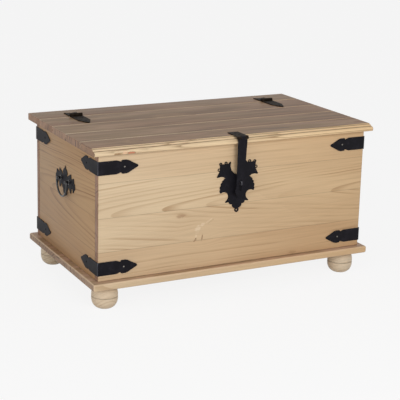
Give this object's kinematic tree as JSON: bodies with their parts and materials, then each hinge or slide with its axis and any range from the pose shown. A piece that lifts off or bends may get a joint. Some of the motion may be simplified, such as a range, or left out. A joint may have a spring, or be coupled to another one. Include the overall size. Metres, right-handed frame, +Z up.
{
  "type": "blanket chest",
  "caption": "Low pine blanket chest on turned feet, with a planked lid that lifts on strap hinges, a hasp over a shaped escutcheon, drop handles and iron corner straps.",
  "frame": {"origin": "on the floor, below the middle of the whole chest", "axes": "+Z up, +X along the front to the viewer's right, -Y towards the viewer of the front"},
  "size_m": [0.909, 0.5394, 0.4819],
  "materials": {
    "pine_front": "waxed pine",
    "pine_end": "waxed pine",
    "pine_top": "waxed pine",
    "pine_foot": "waxed turned pine",
    "black_iron": "satin black"
  },
  "bodies": {
    "carcass": {"front_panel": "pine_front", "back_panel": "pine_front", "left_end_panel": "pine_end", "right_end_panel": "pine_end", "base_board": "pine_front", "foot_front_left": "pine_foot", "foot_front_right": "pine_foot", "foot_back_left": "pine_foot", "foot_back_right": "pine_foot", "rear_top_board": "pine_top", "hinge_rear_leaf_left": "black_iron", "hinge_rear_leaf_right": "black_iron", "hinge_pin_left": "black_iron", "hinge_pin_right": "black_iron", "escutcheon": "black_iron", "staple": "black_iron", "handle_plate_left": "black_iron", "handle_plate_right": "black_iron", "corner_strap_lower_front_left": "black_iron", "corner_strap_lower_front_right": "black_iron", "corner_strap_lower_back_left": "black_iron", "corner_strap_lower_back_right": "black_iron", "corner_strap_upper_front_left": "black_iron", "corner_strap_upper_front_right": "black_iron", "corner_strap_upper_back_left": "black_iron", "corner_strap_upper_back_right": "black_iron"},
    "lid": {"lid_board_rear": "pine_top", "lid_board_second": "pine_top", "lid_board_third": "pine_top", "lid_board_front": "pine_top", "lid_batten_left": "pine_end", "lid_batten_right": "pine_end", "hinge_front_leaf_left": "black_iron", "hinge_front_leaf_right": "black_iron", "hasp_lid_leaf": "black_iron", "hasp_pin": "black_iron"},
    "hasp": {"hasp_strap": "black_iron"},
    "left_handle": {"bail_left": "black_iron"},
    "right_handle": {"bail_right": "black_iron"}
  },
  "joints": [
    {"name": "lid_hinge", "type": "hinge", "parent": "carcass", "child": "lid", "pos_m": [0, 0.16975, 0.477], "axis": [-1, 0, 0], "range_deg": [0, 105]},
    {"name": "hasp_swing", "type": "hinge", "parent": "lid", "child": "hasp", "pos_m": [0, -0.26525, 0.4697], "axis": [-1, 0, 0], "range_deg": [0, 200]},
    {"name": "left_bail_swing", "type": "hinge", "parent": "carcass", "child": "left_handle", "pos_m": [-0.4465, 0.00275, 0.3235], "axis": [0, 1, 0], "range_deg": [0, 175]},
    {"name": "right_bail_swing", "type": "hinge", "parent": "carcass", "child": "right_handle", "pos_m": [0.4465, 0.00275, 0.3235], "axis": [0, -1, 0], "range_deg": [0, 175]}
  ]
}
